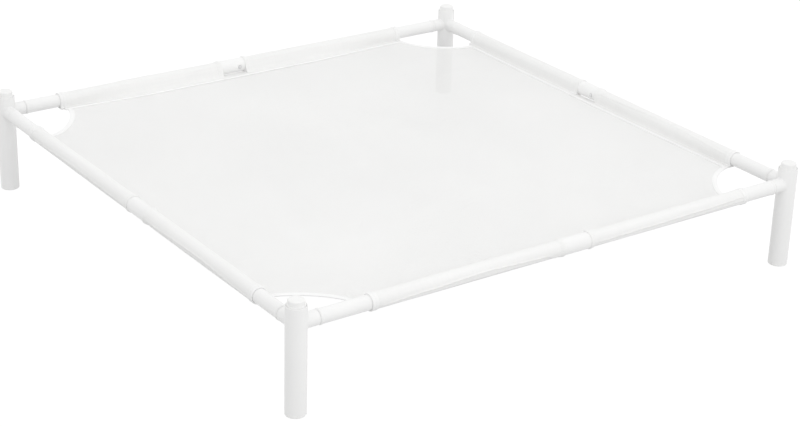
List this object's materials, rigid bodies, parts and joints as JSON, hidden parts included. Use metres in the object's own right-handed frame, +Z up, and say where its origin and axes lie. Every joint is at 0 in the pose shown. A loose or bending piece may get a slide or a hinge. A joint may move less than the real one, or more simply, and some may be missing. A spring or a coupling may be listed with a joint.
{
  "type": "raised pet bed",
  "caption": "Square raised pet bed: round posts, two-piece tube rails with snap-button couplers, and a white mesh sling sewn round the rails.",
  "frame": {"origin": "middle of the footprint, on the floor", "axes": "+Z up, +X along the front rail to the front-right post, +Y to the back"},
  "size_m": [0.915, 0.915, 0.17],
  "materials": {
    "tube": "white powder coat, satin, very fine texture",
    "coupler": "white powder coat, smooth, semi-gloss",
    "plastic": "white moulded plastic, satin",
    "snap_button": "zinc-plated, worn smooth on the dome",
    "spring_steel": "plain spring strip",
    "mesh_cloth": "white vinyl-coated open mesh, matt, partly see-through",
    "binding_tape": "white woven binding tape, stitched"
  },
  "bodies": {
    "frame": {"post_front_left": "tube", "post_cap_front_left": "plastic", "foot_plug_front_left": "plastic", "corner_binding_front_left": "binding_tape", "post_front_right": "tube", "post_cap_front_right": "plastic", "foot_plug_front_right": "plastic", "corner_binding_front_right": "binding_tape", "post_back_right": "tube", "post_cap_back_right": "plastic", "foot_plug_back_right": "plastic", "corner_binding_back_right": "binding_tape", "post_back_left": "tube", "post_cap_back_left": "plastic", "foot_plug_back_left": "plastic", "corner_binding_back_left": "binding_tape", "rail_front_plain_half": "tube", "rail_front_socket_half": "tube", "coupler_front": "coupler", "button_spring_front": "spring_steel", "sleeve_front_a": "mesh_cloth", "sleeve_front_b": "mesh_cloth", "rail_right_plain_half": "tube", "rail_right_socket_half": "tube", "coupler_right": "coupler", "button_spring_right": "spring_steel", "sleeve_right_a": "mesh_cloth", "sleeve_right_b": "mesh_cloth", "rail_back_plain_half": "tube", "rail_back_socket_half": "tube", "coupler_back": "coupler", "button_spring_back": "spring_steel", "sleeve_back_a": "mesh_cloth", "sleeve_back_b": "mesh_cloth", "rail_left_plain_half": "tube", "rail_left_socket_half": "tube", "coupler_left": "coupler", "button_spring_left": "spring_steel", "sleeve_left_a": "mesh_cloth", "sleeve_left_b": "mesh_cloth", "sling_panel": "mesh_cloth"},
    "button_front": {"snap_button_front": "snap_button"},
    "button_right": {"snap_button_right": "snap_button"},
    "button_back": {"snap_button_back": "snap_button"},
    "button_left": {"snap_button_left": "snap_button"}
  },
  "joints": [
    {"name": "press_button_front", "type": "slide", "parent": "frame", "child": "button_front", "axis": [0, -1, 0], "range_m": [0, 0.0034], "stiffness_N_per_m": 2500, "springref_m": -0.002, "deforming": ["button_spring_front"]},
    {"name": "press_button_right", "type": "slide", "parent": "frame", "child": "button_right", "axis": [1, 0, 0], "range_m": [0, 0.0034], "stiffness_N_per_m": 2500, "springref_m": -0.002, "deforming": ["button_spring_right"]},
    {"name": "press_button_back", "type": "slide", "parent": "frame", "child": "button_back", "axis": [0, 1, 0], "range_m": [0, 0.0034], "stiffness_N_per_m": 2500, "springref_m": -0.002, "deforming": ["button_spring_back"]},
    {"name": "press_button_left", "type": "slide", "parent": "frame", "child": "button_left", "axis": [-1, 0, 0], "range_m": [0, 0.0034], "stiffness_N_per_m": 2500, "springref_m": -0.002, "deforming": ["button_spring_left"]}
  ]
}
